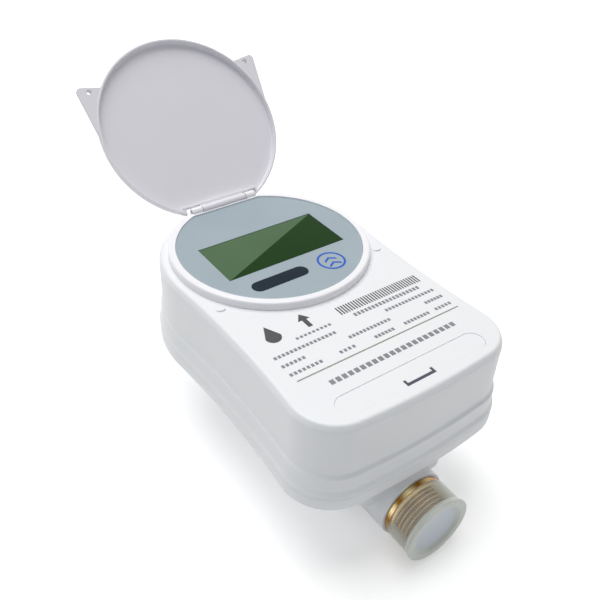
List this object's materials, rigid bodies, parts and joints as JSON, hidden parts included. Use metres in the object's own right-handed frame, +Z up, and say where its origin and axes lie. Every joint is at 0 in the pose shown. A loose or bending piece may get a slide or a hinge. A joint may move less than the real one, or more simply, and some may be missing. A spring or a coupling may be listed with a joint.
{
  "type": "ultrasonic water meter",
  "caption": "Ultrasonic water meter: white moulded housing, round flip lid over a printed display window, brass flow tube through the belly and translucent thread caps.",
  "frame": {"origin": "centre of the flat base under the belly, halfway along the flow tube", "axes": "+Y along the flow tube towards the lid's hinge, +X to the right as the display is read, +Z up"},
  "size_m": [0.0994, 0.2177, 0.1429],
  "materials": {
    "white_abs": "fine satin moulded",
    "pale_abs": "satin moulded",
    "printed_film": "back-printed, smooth",
    "display_glass": "polished display glass",
    "infrared_acrylic": "polished dark acrylic",
    "machined_brass": "turned",
    "stainless_steel": "bright",
    "milky_polyethylene": "translucent moulded",
    "epdm_rubber": "matt",
    "black_nylon": "moulded",
    "circuit_laminate": "solder mask",
    "battery_sleeve": "shrink sleeve"
  },
  "bodies": {
    "meter": {"upper_housing": "white_abs", "lower_housing": "white_abs", "display_bezel": "white_abs", "window_panel": "printed_film", "lcd_module": "display_glass", "infrared_window": "infrared_acrylic", "display_carrier": "black_nylon", "circuit_board": "circuit_laminate", "antenna": "pale_abs", "key_spring": "stainless_steel", "hinge_pin": "stainless_steel", "service_socket": "black_nylon", "battery_cell": "battery_sleeve", "battery_cradle": "black_nylon", "housing_gasket": "epdm_rubber", "housing_screw_1": "stainless_steel", "housing_screw_2": "stainless_steel", "housing_screw_3": "stainless_steel", "housing_screw_4": "stainless_steel", "flow_tube": "machined_brass", "retaining_ring_front": "machined_brass", "retaining_ring_rear": "machined_brass", "transducer_front": "stainless_steel", "transducer_rear": "stainless_steel", "transducer_seal_front": "epdm_rubber", "transducer_seal_rear": "epdm_rubber", "transducer_clamp_front": "stainless_steel", "transducer_clamp_rear": "stainless_steel", "clamp_screw_1": "stainless_steel", "clamp_screw_2": "stainless_steel", "clamp_screw_3": "stainless_steel", "clamp_screw_4": "stainless_steel", "measuring_insert": "black_nylon", "reflector_front": "stainless_steel", "reflector_rear": "stainless_steel", "inlet_strainer": "black_nylon"},
    "flip_lid": {"lid": "white_abs"},
    "service_strip": {"service_cover": "white_abs"},
    "front_cap": {"thread_cap_front": "milky_polyethylene"},
    "rear_cap": {"thread_cap_rear": "milky_polyethylene"}
  },
  "joints": [
    {"name": "lid_hinge", "type": "hinge", "parent": "meter", "child": "flip_lid", "pos_m": [0, 0.0669, 0.084], "axis": [-1, 0, 0], "range_deg": [-134, 0]},
    {"name": "service_cover_hinge", "type": "hinge", "parent": "meter", "child": "service_strip", "pos_m": [0, -0.0602, 0.0804], "axis": [-1, 0, 0], "range_deg": [0, 70]},
    {"name": "front_cap_slide", "type": "slide", "parent": "meter", "child": "front_cap", "axis": [0, -1, 0], "range_m": [0, 0.016]},
    {"name": "rear_cap_slide", "type": "slide", "parent": "meter", "child": "rear_cap", "axis": [0, 1, 0], "range_m": [0, 0.016]}
  ]
}
